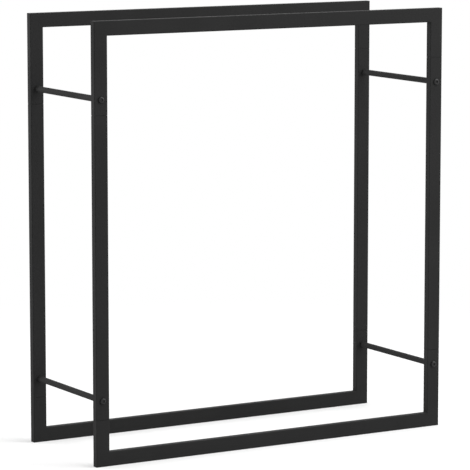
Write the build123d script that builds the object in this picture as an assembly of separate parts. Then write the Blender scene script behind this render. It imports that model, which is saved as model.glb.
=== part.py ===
from build123d import *
import math
import os

# Open firewood rack: a front and a rear frame of flat steel tube, tied together by round cross rods.
# Millimetres. Origin on the floor under the middle of the rack, +X right, +Y to the rear, +Z up.

# Overall size, over the tubes
rack_width = 800.0
rack_height = 864.0
rack_depth = 284.0

# Flat rectangular tube of the frames
tube_width = 28.5            # broad face, seen from the front
tube_depth = 15.0            # narrow face, front to rear
tube_wall = 1.0
tube_corner_radius = 1.5
least_inner_radius = 0.2     # tightest corner inside a tube

# Legs welded to each rail, measured from the outside of the rail to the leg's open end
top_left_leg = 180.0
top_right_leg = 100.0
bottom_left_leg = 92.0
bottom_right_leg = 160.0
seam_gap = 0.5               # between a leg's open end and the post that meets it
seam_chamfer = 0.25          # broken outer edge at every open tube end

# Plugs inside the posts, which line up each leg and post
plug_clearance = 0.2         # all round, between a plug and the tube
plug_wall = 1.5
plug_reach = 60.0            # into the tubes on either side of a seam
plug_edge = 10.0             # least plug left beyond a screw's axis

# Round cross rods between the frames
rod_diameter = 12.0
rod_chamfer = 0.6
upper_rod_drop = 150.0       # rod axis below the top of the rack
lower_rod_height = 130.0     # rod axis above the floor

# Button-head screws with hexagon sockets, through the posts into the rods
screw_diameter = 6.0
screw_grip = 15.0            # thread inside the rod
screw_tip_chamfer = 0.8
screw_hole_clearance = 0.6   # on the diameter, in tubes and plugs
thread_clearance = 0.1       # on the diameter, in the rod
thread_runout = 5.0          # tapped hole beyond the screw's tip
head_diameter = 12.5
head_height = 3.3
head_rim = 0.7               # straight edge of the head
head_flat_diameter = 6.4     # flat land around the socket
socket_width = 4.0           # across flats
socket_depth = 2.2

# Places worked out from the sizes above
tube_inner_radius = max(tube_corner_radius - tube_wall, least_inner_radius)
post_x = (rack_width - tube_width) / 2
frame_y = (rack_depth - tube_depth) / 2
rod_length = rack_depth - 2 * tube_depth
side_x = {"left": -post_x, "right": post_x}
rod_z = {"upper": rack_height - upper_rod_drop, "lower": lower_rod_height}
leg_length = {
    ("top", "left"): top_left_leg,
    ("top", "right"): top_right_leg,
    ("bottom", "left"): bottom_left_leg,
    ("bottom", "right"): bottom_right_leg,
}


def hollow_section(width, depth, wall, outer_radius, inner_radius):
    outside = RectangleRounded(width, depth, outer_radius)
    inside = RectangleRounded(width - 2 * wall, depth - 2 * wall, inner_radius)
    return outside - inside


def upright_tube(bottom, top):
    section = hollow_section(tube_width, tube_depth, tube_wall, tube_corner_radius, tube_inner_radius)
    return Pos(0, 0, bottom) * extrude(section, top - bottom)


def break_open_end(tube, toward):
    # Chamfers the outer edge of the open end that faces up or down.
    end = tube.faces().sort_by(Axis.Z)[-1 if toward == "up" else 0]
    return chamfer(end.outer_wire().edges(), seam_chamfer)


def mitre(tube, side, keep_rail):
    # Cuts a tube at 45 degrees through the outer bottom corner of the frame.
    sign = -1 if side == "left" else 1
    corner = (sign * rack_width / 2, 0, 0)
    toward_rail = Vector(-sign, 0, -1)
    normal = toward_rail if keep_rail else -toward_rail
    return split(tube, bisect_by=Plane(origin=corner, z_dir=normal), keep=Keep.TOP)


def screw_hole(x, z):
    drill = Cylinder((screw_diameter + screw_hole_clearance) / 2, 2 * tube_depth)
    return Pos(x, 0, z) * Rot(90, 0, 0) * drill


def drilled(tube, side):
    for height in rod_z.values():
        tube -= screw_hole(side_x[side], height)
    return tube


def bottom_rail():
    section = hollow_section(tube_width, tube_depth, tube_wall, tube_corner_radius, tube_inner_radius)
    bar = Rot(0, 90, 0) * extrude(section, rack_width / 2, both=True)
    rail = Pos(0, 0, tube_width / 2) * bar
    for side in side_x:
        rail = mitre(rail, side, keep_rail=True)
    return rail


def bottom_leg(side, length):
    leg = Pos(side_x[side], 0, 0) * upright_tube(0, length)
    leg = break_open_end(leg, "up")
    return mitre(leg, side, keep_rail=False)


def stand_on_head(piece):
    return Pos(0, 0, rack_height) * mirror(piece, Plane.XY)


def post(side):
    low = leg_length["bottom", side] + seam_gap
    high = rack_height - leg_length["top", side] - seam_gap
    tube = Pos(side_x[side], 0, 0) * upright_tube(low, high)
    tube = break_open_end(tube, "up")
    tube = break_open_end(tube, "down")
    return drilled(tube, side)


def plug(end, side):
    # A plug reaches into both tubes at a seam, and always past the screw that locks it.
    length = leg_length[end, side] + seam_gap / 2
    seam = length if end == "bottom" else rack_height - length
    screw = rod_z["lower" if end == "bottom" else "upper"]
    low = min(seam - plug_reach, screw - plug_edge)
    high = max(seam + plug_reach, screw + plug_edge)
    slack = 2 * (tube_wall + plug_clearance)
    inner_radius = max(tube_inner_radius - plug_wall, least_inner_radius)
    section = hollow_section(
        tube_width - slack, tube_depth - slack, plug_wall, tube_inner_radius, inner_radius)
    body = Pos(side_x[side], 0, low) * extrude(section, high - low)
    return drilled(body, side)


def cross_rod(side, level):
    bar = Rot(90, 0, 0) * Cylinder(rod_diameter / 2, rod_length)
    bar = chamfer(bar.edges().filter_by(GeomType.CIRCLE), rod_chamfer)
    depth = screw_grip + thread_runout
    tapped = Cylinder((screw_diameter + thread_clearance) / 2, depth)
    for facing in (-1, 1):
        bar -= Pos(0, facing * (rod_length - depth) / 2, 0) * Rot(90, 0, 0) * tapped
    return Pos(side_x[side], 0, rod_z[level]) * bar


def button_screw():
    # Seat at zero height, head up, shank down.
    land = head_flat_diameter / 2
    rim = head_diameter / 2
    dome = TangentArc((land, head_height), (rim, head_rim), tangent=(1, 0))
    outline = [
        Line((0, head_height), (land, head_height)),
        dome,
        Line((rim, head_rim), (rim, 0)),
        Line((rim, 0), (0, 0)),
        Line((0, 0), (0, head_height)),
    ]
    head = revolve(Plane.XZ * make_face(outline), Axis.Z)
    shank_length = tube_depth + screw_grip
    shank = Pos(0, 0, -shank_length / 2) * Cylinder(screw_diameter / 2, shank_length)
    tip = shank.faces().sort_by(Axis.Z)[0]
    shank = chamfer(tip.edges(), screw_tip_chamfer)
    socket = RegularPolygon(socket_width / math.sqrt(3), 6)
    recess = Pos(0, 0, head_height - socket_depth) * extrude(socket, socket_depth)
    return head + shank - recess


def frame_pieces():
    # One frame, centred on its own depth, with each solid under its name.
    rail = bottom_rail()
    pieces = {"top_rail": stand_on_head(rail), "bottom_rail": rail}
    for (end, side), length in leg_length.items():
        leg = bottom_leg(side, length)
        if end == "top":
            leg = stand_on_head(leg)
        pieces[f"{end}_{side}_leg"] = drilled(leg, side)
        pieces[f"{end}_{side}_plug"] = plug(end, side)
    for side in side_x:
        pieces[f"{side}_post"] = post(side)
    return pieces


nodes = {}
for name, piece in frame_pieces().items():
    nodes[f"front_{name}"] = Pos(0, -frame_y, 0) * piece
    nodes[f"rear_{name}"] = Pos(0, frame_y, 0) * mirror(piece, Plane.XZ)

screw = button_screw()
for level in rod_z:
    for side in side_x:
        nodes[f"{level}_{side}_rod"] = cross_rod(side, level)
        front_seat = Pos(side_x[side], -rack_depth / 2, rod_z[level]) * Rot(90, 0, 0)
        rear_seat = Pos(side_x[side], rack_depth / 2, rod_z[level]) * Rot(-90, 0, 0)
        nodes[f"front_{level}_{side}_screw"] = front_seat * screw
        nodes[f"rear_{level}_{side}_screw"] = rear_seat * screw

os.makedirs("parts", exist_ok=True)
for name, piece in nodes.items():
    export_step(piece, f"parts/{name}.step")
print(len(nodes), "pieces written")
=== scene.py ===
import math

import bmesh
import bpy
from mathutils import Matrix, Vector


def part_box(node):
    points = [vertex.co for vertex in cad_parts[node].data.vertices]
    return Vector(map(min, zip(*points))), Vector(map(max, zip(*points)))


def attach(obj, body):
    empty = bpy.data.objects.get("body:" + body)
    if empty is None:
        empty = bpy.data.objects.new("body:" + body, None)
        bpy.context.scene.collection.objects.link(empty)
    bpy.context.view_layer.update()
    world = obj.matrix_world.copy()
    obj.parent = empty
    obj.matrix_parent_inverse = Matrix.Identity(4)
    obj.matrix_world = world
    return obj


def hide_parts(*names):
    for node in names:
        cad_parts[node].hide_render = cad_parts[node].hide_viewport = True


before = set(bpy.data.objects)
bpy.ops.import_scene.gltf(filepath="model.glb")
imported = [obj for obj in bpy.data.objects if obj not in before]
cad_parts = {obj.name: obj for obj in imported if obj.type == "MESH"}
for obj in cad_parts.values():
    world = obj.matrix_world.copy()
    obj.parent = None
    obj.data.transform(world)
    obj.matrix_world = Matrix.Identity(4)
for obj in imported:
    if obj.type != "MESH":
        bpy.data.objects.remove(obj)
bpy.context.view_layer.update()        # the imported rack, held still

scene = bpy.context.scene
mm = 0.001
sides = ("left", "right")
levels = {"top": "upper", "bottom": "lower"}     # which rods belong to which end
print("frame loaded,", len(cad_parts), "pieces")


# Selecting, shaping and copying

picking = {
    "samePlace": 0.01 * mm,    # closer than this counts as the same place
    "straightOn": 0.9,         # part of a normal that counts as facing along an axis
    "leastFold": 20,           # degrees at which two faces make an edge
}


def pickOnly(piece):
    if bpy.context.object and bpy.context.object.mode != "OBJECT":
        bpy.ops.object.mode_set(mode="OBJECT")
    bpy.ops.object.select_all(action="DESELECT")
    if piece:
        piece.select_set(True)
        bpy.context.view_layer.objects.active = piece


def settle(piece, name):
    # place, turn and size go into the mesh
    pickOnly(piece)
    bpy.ops.object.transform_apply(location=True, rotation=True, scale=True)
    piece.name = name
    piece.data.name = name
    return piece


def near(a, b):
    return abs(a - b) < picking["samePlace"]


def editFaces(piece, wanted):
    pickOnly(piece)
    bpy.ops.object.mode_set(mode="EDIT")
    bpy.ops.mesh.select_mode(type="FACE")
    bpy.ops.mesh.select_all(action="DESELECT")
    mesh = bmesh.from_edit_mesh(piece.data)
    for face in mesh.faces:
        face.select_set(wanted(face.calc_center_median(), face.normal))
    bmesh.update_edit_mesh(piece.data)


def editEdges(piece, wanted, least=picking["leastFold"]):
    # only edges that fold by more than the least angle
    pickOnly(piece)
    bpy.ops.object.mode_set(mode="EDIT")
    bpy.ops.mesh.select_mode(type="EDGE")
    bpy.ops.mesh.select_all(action="DESELECT")
    mesh = bmesh.from_edit_mesh(piece.data)
    for edge in mesh.edges:
        folded = edge.calc_face_angle(0) > math.radians(least)
        edge.select_set(folded and wanted(edge.verts[0].co, edge.verts[1].co))
    bmesh.update_edit_mesh(piece.data)


def finishEdit():
    bpy.ops.object.mode_set(mode="OBJECT")


def bevelEdges(radius, steps):
    bpy.ops.mesh.bevel(
        offset=radius, offset_type="OFFSET", segments=steps, affect="EDGES", clamp_overlap=False)
    finishEdit()


def extrudeFaces(shift):
    bpy.ops.mesh.extrude_region_move(TRANSFORM_OT_translate={"value": shift})


def cutAway(piece, cutter):
    pickOnly(piece)
    cut = piece.modifiers.new("cut", "BOOLEAN")
    cut.operation = "DIFFERENCE"
    cut.solver = "EXACT"
    cut.object = cutter
    bpy.ops.object.modifier_apply(modifier=cut.name)
    bpy.data.objects.remove(cutter)


def smoothSkin(piece, angle):
    # rounded edges shade smoothly, and broad faces stay flat
    pickOnly(piece)
    bpy.ops.object.shade_smooth_by_angle(angle=math.radians(angle))
    weighted = piece.modifiers.new("weighted", "WEIGHTED_NORMAL")
    weighted.keep_sharp = True
    weighted.weight = 100
    bpy.ops.object.modifier_apply(modifier=weighted.name)


def copyTo(piece, name, place):
    twin = piece.copy()
    twin.data = piece.data.copy()
    scene.collection.objects.link(twin)
    twin.matrix_world = place
    return settle(twin, name)


def dress(piece, finish, slotName, *nodes):
    piece.data.materials.clear()
    piece.data.materials.append(finish)
    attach(piece, "root")
    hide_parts(*nodes)


# Finishes

noiseRange = (0.3, 0.7)        # where most of a noise pattern lies
shadeStops = (0.32, 0.68)      # where the dark and the light shade are reached


def startFinish(name):
    finish = bpy.data.materials.new(name)
    finish.use_nodes = True
    nodes = finish.node_tree.nodes
    place = nodes.new("ShaderNodeTexCoord").outputs["Object"]
    return finish, nodes, finish.node_tree.links, nodes["Principled BSDF"], place


def noise(nodes, links, place, perMetre, detail):
    texture = nodes.new("ShaderNodeTexNoise")
    texture.inputs["Scale"].default_value = perMetre
    texture.inputs["Detail"].default_value = detail
    links.new(place, texture.inputs["Vector"])
    return texture.outputs["Fac"]


def shades(nodes, links, factor, dark, light):
    ramp = nodes.new("ShaderNodeValToRGB")
    for stop, place, shade in zip(ramp.color_ramp.elements, shadeStops, (dark, light)):
        stop.position = place
        stop.color = (*shade, 1)
    links.new(factor, ramp.inputs["Fac"])
    return ramp.outputs["Color"]


def between(nodes, links, factor, low, high):
    span = nodes.new("ShaderNodeMapRange")
    span.inputs["From Min"].default_value = noiseRange[0]
    span.inputs["From Max"].default_value = noiseRange[1]
    span.inputs["To Min"].default_value = low
    span.inputs["To Max"].default_value = high
    links.new(factor, span.inputs["Value"])
    return span.outputs["Result"]


def relief(nodes, links, height, depth, under=None):
    bump = nodes.new("ShaderNodeBump")
    bump.inputs["Distance"].default_value = depth
    links.new(height, bump.inputs["Height"])
    if under:
        links.new(under, bump.inputs["Normal"])
    return bump.outputs["Normal"]


powderCoat = {
    "dark": (0.0110, 0.0110, 0.0110),
    "light": (0.0145, 0.0145, 0.0145),
    "driftsPerMetre": 8,       # slow drift from matt to a little less matt
    "driftDetail": 4,
    "peelPerMetre": 420,       # orange peel
    "peelDetail": 2,
    "peelDepth": 0.20 * mm,
    "gritPerMetre": 1900,      # fine grit in the coat
    "gritDetail": 3,
    "gritDepth": 0.06 * mm,
    "roughness": (0.76, 0.86),
    "shine": 0.20,
}


def powderCoatFinish():
    finish, nodes, links, shader, place = startFinish("matt_black_powder_coat")
    drifts = noise(nodes, links, place, powderCoat["driftsPerMetre"], powderCoat["driftDetail"])
    peel = noise(nodes, links, place, powderCoat["peelPerMetre"], powderCoat["peelDetail"])
    grit = noise(nodes, links, place, powderCoat["gritPerMetre"], powderCoat["gritDetail"])
    colour = shades(nodes, links, grit, powderCoat["dark"], powderCoat["light"])
    matt = between(nodes, links, drifts, *powderCoat["roughness"])
    waves = relief(nodes, links, peel, powderCoat["peelDepth"])
    grain = relief(nodes, links, grit, powderCoat["gritDepth"], waves)
    links.new(colour, shader.inputs["Base Color"])
    links.new(matt, shader.inputs["Roughness"])
    links.new(grain, shader.inputs["Normal"])
    shader.inputs["Specular IOR Level"].default_value = powderCoat["shine"]
    return finish


blackedScrew = {
    "dark": (0.0065, 0.0065, 0.0068),
    "light": (0.0105, 0.0105, 0.0108),
    "mottlePerMetre": 600,
    "mottleDetail": 4,
    "roughness": (0.24, 0.31),
    "shine": 0.30,
}


def blackedScrewFinish():
    finish, nodes, links, shader, place = startFinish("satin_black_screw")
    mottle = noise(nodes, links, place, blackedScrew["mottlePerMetre"], blackedScrew["mottleDetail"])
    colour = shades(nodes, links, mottle, blackedScrew["dark"], blackedScrew["light"])
    satin = between(nodes, links, mottle, *blackedScrew["roughness"])
    links.new(colour, shader.inputs["Base Color"])
    links.new(satin, shader.inputs["Roughness"])
    shader.inputs["Specular IOR Level"].default_value = blackedScrew["shine"]
    return finish


plugCoat = {
    "dark": (0.009, 0.009, 0.009),
    "light": (0.016, 0.016, 0.016),
    "marksPerMetre": (420, 420, 9),      # drawn out along the plug
    "markDetail": 5,
    "roughness": (0.42, 0.58),
    "shine": 0.20,
}


def plugCoatFinish():
    finish, nodes, links, shader, place = startFinish("thin_black_coat")
    stretch = nodes.new("ShaderNodeMapping")
    stretch.inputs["Scale"].default_value = plugCoat["marksPerMetre"]
    links.new(place, stretch.inputs["Vector"])
    marks = noise(nodes, links, stretch.outputs["Vector"], 1, plugCoat["markDetail"])
    colour = shades(nodes, links, marks, plugCoat["dark"], plugCoat["light"])
    drawn = between(nodes, links, marks, *plugCoat["roughness"])
    links.new(colour, shader.inputs["Base Color"])
    links.new(drawn, shader.inputs["Roughness"])
    shader.inputs["Specular IOR Level"].default_value = plugCoat["shine"]
    return finish


coat = powderCoatFinish()
screwBlack = blackedScrewFinish()
plugBlack = plugCoatFinish()
print("finishes ready")


# Front and rear frame, of flat tube

tube = {
    "wall": 1.0 * mm,
    "edgeRadius": 1.5 * mm,
    "edgeSteps": 4,
    "weldRadius": 0.7 * mm,        # corners ground after welding
    "weldSteps": 3,
    "weldFold": 5,                 # degrees, since the rounded edges cross the mitre at shallow angles
    "mouthChamfer": 0.25 * mm,     # broken edge at a seam
    "holeRadius": 3.3 * mm,
    "holeSides": 32,
    "smoothAngle": 35,
}
toRear = Matrix.Translation(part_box("rear_top_rail")[0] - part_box("front_top_rail")[0])


def startBlock(low, high):
    pickOnly(None)
    bpy.ops.mesh.primitive_cube_add(size=1, location=(low + high) / 2)
    block = bpy.context.object
    block.scale = high - low
    return block


def hollow(piece, mouths):
    # takes off the closed ends and gives the tube its wall, inwards
    def closesEnd(centre, normal):
        return abs(normal.z) > picking["straightOn"] and any(near(centre.z, z) for z in mouths)
    editFaces(piece, closesEnd)
    bpy.ops.mesh.delete(type="FACE")
    finishEdit()
    wall = piece.modifiers.new("wall", "SOLIDIFY")
    wall.thickness = tube["wall"]
    wall.offset = -1
    wall.use_even_offset = True
    bpy.ops.object.modifier_apply(modifier=wall.name)


def breakMouth(piece, mouth, low, high):
    # chamfers the outer edge of the tube's end at height mouth
    def onRim(point):
        inside = min(point.x - low.x, high.x - point.x, point.y - low.y, high.y - point.y)
        return near(point.z, mouth) and abs(inside) < tube["wall"] / 2
    editEdges(piece, lambda a, b: onRim(a) and onRim(b))
    bevelEdges(tube["mouthChamfer"], 1)


def drill(piece, side):
    # screw holes through both walls, where this piece reaches the rod
    low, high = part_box(f"front_{side}_post")
    columns = [corner[0] for corner in piece.bound_box]
    heights = [corner[2] for corner in piece.bound_box]
    for level in levels.values():
        boltLow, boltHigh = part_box(f"front_{level}_{side}_screw")
        bolt = (boltLow + boltHigh) / 2
        if not (min(heights) < bolt.z < max(heights) and min(columns) < bolt.x < max(columns)):
            continue
        pickOnly(None)
        bpy.ops.mesh.primitive_cylinder_add(
            vertices=tube["holeSides"], radius=tube["holeRadius"], depth=2 * (high.y - low.y),
            location=(bolt.x, (low.y + high.y) / 2, bolt.z), rotation=(math.pi / 2, 0, 0))
        cutAway(piece, settle(bpy.context.object, "drill"))


def makeEnd(end):
    railLow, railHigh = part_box(f"front_{end}_rail")
    width = railHigh.z - railLow.z
    # the legs leave the rail on its inner side
    if end == "top":
        inner, outer, facing = railLow.z, railHigh.z, -1
    else:
        inner, outer, facing = railHigh.z, railLow.z, 1
    piece = settle(startBlock(railLow, railHigh), f"front_{end}_end")
    for column in (railLow.x + width, railHigh.x - width):
        editFaces(piece, lambda centre, normal: True)
        bpy.ops.mesh.bisect(plane_co=(column, 0, 0), plane_no=(1, 0, 0))
        finishEdit()
    mouths = {}
    for side in sides:
        legLow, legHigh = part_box(f"front_{end}_{side}_leg")
        mouths[side] = legLow.z if end == "top" else legHigh.z

        def startsLeg(centre, normal):
            return normal.z * facing > picking["straightOn"] and legLow.x < centre.x < legHigh.x
        editFaces(piece, startsLeg)
        extrudeFaces((0, 0, mouths[side] - inner))
        finishEdit()

    def lengthwise(a, b):
        return near(a.y, b.y) and not any(near(a.z, z) and near(b.z, z) for z in mouths.values())

    def onMitre(point):
        # on the outer skin of the tube, where rail and leg meet
        depth = abs(point.z - outer)
        inside = min(depth, width - depth, point.y - railLow.y, railHigh.y - point.y)
        return near(abs(point.x) + depth, railHigh.x) and inside < tube["wall"] / 2

    editEdges(piece, lengthwise)
    bevelEdges(tube["edgeRadius"], tube["edgeSteps"])
    hollow(piece, mouths.values())
    editEdges(piece, lambda a, b: onMitre(a) and onMitre(b), tube["weldFold"])
    bevelEdges(tube["weldRadius"], tube["weldSteps"])
    for side in sides:
        breakMouth(piece, mouths[side], *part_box(f"front_{end}_{side}_leg"))
        drill(piece, side)
    smoothSkin(piece, tube["smoothAngle"])
    return piece


def makePost(side):
    low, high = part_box(f"front_{side}_post")
    piece = settle(startBlock(low, high), f"front_{side}_post_tube")
    editEdges(piece, lambda a, b: not near(a.z, b.z))
    bevelEdges(tube["edgeRadius"], tube["edgeSteps"])
    hollow(piece, (low.z, high.z))
    for mouth in (low.z, high.z):
        breakMouth(piece, mouth, low, high)
    drill(piece, side)
    smoothSkin(piece, tube["smoothAngle"])
    return piece


for end in levels:
    front = makeEnd(end)
    rear = copyTo(front, f"rear_{end}_end", toRear)
    for face, piece in (("front", front), ("rear", rear)):
        legs = [f"{face}_{end}_{side}_leg" for side in sides]
        dress(piece, coat, "frame_coat", f"{face}_{end}_rail", *legs)
for side in sides:
    front = makePost(side)
    rear = copyTo(front, f"rear_{side}_post_tube", toRear)
    for face, piece in (("front", front), ("rear", rear)):
        dress(piece, coat, "frame_coat", f"{face}_{side}_post")
print("frames ready")


# Round cross rods

crossRod = {
    "sides": 72,
    "chamfer": 0.6 * mm,
    "chamferSteps": 3,
    "holeRadius": 3.05 * mm,
    "holeDepth": 20 * mm,
    "smoothAngle": 40,
}


def makeRod():
    low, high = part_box("upper_left_rod")
    radius = (high.z - low.z) / 2
    pickOnly(None)
    bpy.ops.mesh.primitive_cylinder_add(
        vertices=crossRod["sides"], radius=radius, depth=high.y - low.y,
        location=(low + high) / 2, rotation=(math.pi / 2, 0, 0))
    rod = settle(bpy.context.object, "upper_left_cross_rod")
    editEdges(rod, lambda a, b: near(a.y, b.y))
    bevelEdges(crossRod["chamfer"], crossRod["chamferSteps"])
    for end, inward in ((low.y, 1), (high.y, -1)):
        editFaces(rod, lambda centre, normal: near(centre.y, end))
        bpy.ops.mesh.inset(thickness=radius - crossRod["chamfer"] - crossRod["holeRadius"])
        extrudeFaces((0, inward * crossRod["holeDepth"], 0))
        finishEdit()
    smoothSkin(rod, crossRod["smoothAngle"])
    return rod


firstRod = makeRod()
for level in levels.values():
    for side in sides:
        node = f"{level}_{side}_rod"
        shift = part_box(node)[0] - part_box("upper_left_rod")[0]
        name = f"{level}_{side}_cross_rod"
        rod = firstRod if name == firstRod.name else copyTo(firstRod, name, Matrix.Translation(shift))
        dress(rod, coat, "rod_coat", node)
print("rods ready")


# Button-head screws with hexagon sockets

buttonScrew = {
    "sides": 60,
    "rim": 0.7 * mm,               # straight edge under the dome
    "domeSteps": 10,
    "seatChamfer": 0.2 * mm,
    "socketAcross": 4.0 * mm,
    "socketDepth": 2.2 * mm,
    "socketPoint": 1.0 * mm,       # cone that the drill left below the hexagon
    "socketEdge": 0.15 * mm,
    "socketEdgeSteps": 2,
    "socketFold": 60,              # degrees, so that the dome's land isn't taken for the socket's edge
    "shankRadius": 3.0 * mm,
    "tipChamfer": 0.8 * mm,
    "smoothAngle": 35,
    "turnEach": 23,                # degrees from one screw to the next, as left by the key
}


def makeHexKey(mouth):
    # the hollow that the key fits, as a cutter with a pointed end
    pickOnly(None)
    bpy.ops.mesh.primitive_cylinder_add(
        vertices=6, radius=buttonScrew["socketAcross"] / math.sqrt(3),
        depth=2 * buttonScrew["socketDepth"], location=mouth, rotation=(math.pi / 2, 0, 0))
    hexKey = settle(bpy.context.object, "hexKey")
    editFaces(hexKey, lambda spot, normal: normal.y > picking["straightOn"])
    extrudeFaces((0, buttonScrew["socketPoint"], 0))
    bpy.ops.mesh.merge(type="CENTER")
    finishEdit()
    return hexKey


def makeScrew():
    low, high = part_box("front_upper_left_screw")
    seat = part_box("front_top_rail")[0].y           # front face of the tube
    centre = (low + high) / 2
    radius = (high.x - low.x) / 2
    head = seat - low.y
    pickOnly(None)
    bpy.ops.mesh.primitive_cylinder_add(
        vertices=buttonScrew["sides"], radius=radius, depth=head,
        location=(centre.x, (low.y + seat) / 2, centre.z), rotation=(math.pi / 2, 0, 0))
    screw = settle(bpy.context.object, "front_upper_left_button_screw")
    editEdges(screw, lambda a, b: near(a.y, low.y) and near(b.y, low.y))
    bevelEdges(head - buttonScrew["rim"], buttonScrew["domeSteps"])
    editEdges(screw, lambda a, b: near(a.y, seat) and near(b.y, seat))
    bevelEdges(buttonScrew["seatChamfer"], 1)
    editFaces(screw, lambda spot, normal: near(spot.y, seat))
    bpy.ops.mesh.inset(thickness=radius - buttonScrew["seatChamfer"] - buttonScrew["shankRadius"])
    extrudeFaces((0, high.y - seat, 0))
    finishEdit()
    editEdges(screw, lambda a, b: near(a.y, high.y) and near(b.y, high.y))
    bevelEdges(buttonScrew["tipChamfer"], 1)
    cutAway(screw, makeHexKey((centre.x, low.y, centre.z)))
    editEdges(screw, lambda a, b: near(a.y, low.y) and near(b.y, low.y), buttonScrew["socketFold"])
    bevelEdges(buttonScrew["socketEdge"], buttonScrew["socketEdgeSteps"])
    smoothSkin(screw, buttonScrew["smoothAngle"])
    return screw, Vector((centre.x, seat, centre.z))


firstScrew, firstSeat = makeScrew()
seats = {"front": firstSeat.y, "rear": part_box("rear_top_rail")[1].y}
facings = {"front": 0, "rear": math.pi}
count = 0
for face in seats:
    for level in levels.values():
        for side in sides:
            node = f"{face}_{level}_{side}_screw"
            low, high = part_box(node)
            seat = Vector(((low.x + high.x) / 2, seats[face], (low.z + high.z) / 2))
            turn = Matrix.Rotation(math.radians(count * buttonScrew["turnEach"]), 4, "Y")
            about = Matrix.Rotation(facings[face], 4, "Z")
            place = Matrix.Translation(seat) @ about @ turn @ Matrix.Translation(-firstSeat)
            name = f"{face}_{level}_{side}_button_screw"
            screw = copyTo(firstScrew, name, place) if count else firstScrew
            dress(screw, screwBlack, "screw_black", node)
            count += 1
print("screws ready")


# Plugs inside the posts keep their CAD shape

for name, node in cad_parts.items():
    if name.endswith("_plug"):
        node.data.materials.clear()
        node.data.materials.append(plugBlack)
print("plugs dressed")


# Floor, light and camera

studio = {
    "floorRadius": 3.2,
    "floorSides": 96,
    "floorFade": (0.7, 1.7),       # metres from the rack over which the floor runs out into white
    "floorColour": (0.60, 0.60, 0.60),
    "floorRoughness": 0.9,
    "floorGlow": 0.32,             # lifts the floor to white where the rack casts no shadow
    "domeLight": 0.64,
}
keyLamp = {"place": (1.5, -1.6, 3.6), "aim": (0, 0, 0.45), "size": 3.5, "watts": 111}
fillLamp = {"place": (3.0, -2.5, 1.6), "aim": (0, 0, 0.45), "size": 1.5, "watts": 54}
sideLamp = {"place": (-2.8, 2.8, 1.6), "aim": (0, 0, 0.45), "size": 2.6, "watts": 76}
rearLamp = {"place": (1.7, 2.9, 2.0), "aim": (0, 0, 0.6), "size": 2.0, "watts": 18}


def seenDirectly(nodes, links, otherwise, seen):
    # one value for what the camera, mirrors and glass show, another for the light on the rack
    path = nodes.new("ShaderNodeLightPath")
    shown = path.outputs["Is Camera Ray"]
    for kind in ("Is Glossy Ray", "Is Transmission Ray"):
        either = nodes.new("ShaderNodeMath")
        either.operation = "MAXIMUM"
        links.new(shown, either.inputs[0])
        links.new(path.outputs[kind], either.inputs[1])
        shown = either.outputs["Value"]
    choice = nodes.new("ShaderNodeMapRange")
    choice.inputs["To Min"].default_value = otherwise
    choice.inputs["To Max"].default_value = seen
    links.new(shown, choice.inputs["Value"])
    return choice.outputs["Result"]


def makeFloor():
    pickOnly(None)
    bpy.ops.mesh.primitive_circle_add(
        vertices=studio["floorSides"], radius=studio["floorRadius"], fill_type="NGON")
    floor = settle(bpy.context.object, "floor")
    finish, nodes, links, shader, place = startFinish("pale_floor")
    shader.inputs["Base Color"].default_value = (*studio["floorColour"], 1)
    shader.inputs["Roughness"].default_value = studio["floorRoughness"]
    shader.inputs["Specular IOR Level"].default_value = 0
    distance = nodes.new("ShaderNodeVectorMath")
    distance.operation = "LENGTH"
    links.new(place, distance.inputs[0])
    fade = nodes.new("ShaderNodeMapRange")
    fade.interpolation_type = "SMOOTHSTEP"
    fade.inputs["From Min"].default_value = studio["floorFade"][0]
    fade.inputs["From Max"].default_value = studio["floorFade"][1]
    fade.inputs["To Min"].default_value = 1
    fade.inputs["To Max"].default_value = 0
    links.new(distance.outputs["Value"], fade.inputs["Value"])
    links.new(fade.outputs["Result"], shader.inputs["Alpha"])
    shader.inputs["Emission Color"].default_value = (1, 1, 1, 1)
    glow = seenDirectly(nodes, links, 0, studio["floorGlow"])
    links.new(glow, shader.inputs["Emission Strength"])
    floor.data.materials.append(finish)


def lightWorld():
    world = bpy.data.worlds.new("white_studio")
    scene.world = world
    world.use_nodes = True
    nodes = world.node_tree.nodes
    links = world.node_tree.links
    background = nodes["Background"]
    background.inputs["Color"].default_value = (1, 1, 1, 1)
    strength = seenDirectly(nodes, links, studio["domeLight"], 1)
    links.new(strength, background.inputs["Strength"])


def addLamp(name, lamp):
    light = bpy.data.lights.new(name, "AREA")
    light.shape = "DISK"
    light.size = lamp["size"]
    light.energy = lamp["watts"]
    holder = bpy.data.objects.new(name, light)
    scene.collection.objects.link(holder)
    holder.location = lamp["place"]
    aim = Vector(lamp["aim"]) - holder.location
    holder.rotation_euler = aim.to_track_quat("-Z", "Y").to_euler()


view = {
    "sensor": 36,                  # millimetres
    "lens": 225.58,                # millimetres
    "place": (-3.0081, -5.0830, 1.2448),
    "down": 8.052,                 # degrees below level
    "right": 30.570,               # degrees from straight at the front
}


def addCamera():
    camera = bpy.data.objects.new("camera", bpy.data.cameras.new("camera"))
    scene.collection.objects.link(camera)
    camera.data.sensor_width = view["sensor"]
    camera.data.lens = view["lens"]
    camera.location = view["place"]
    camera.rotation_euler = (math.radians(90 - view["down"]), 0, math.radians(-view["right"]))
    scene.camera = camera


makeFloor()
lightWorld()
addLamp("key", keyLamp)
addLamp("fill", fillLamp)
addLamp("side", sideLamp)
addLamp("rear", rearLamp)
addCamera()
scene.view_settings.view_transform = "Standard"
print("studio ready")
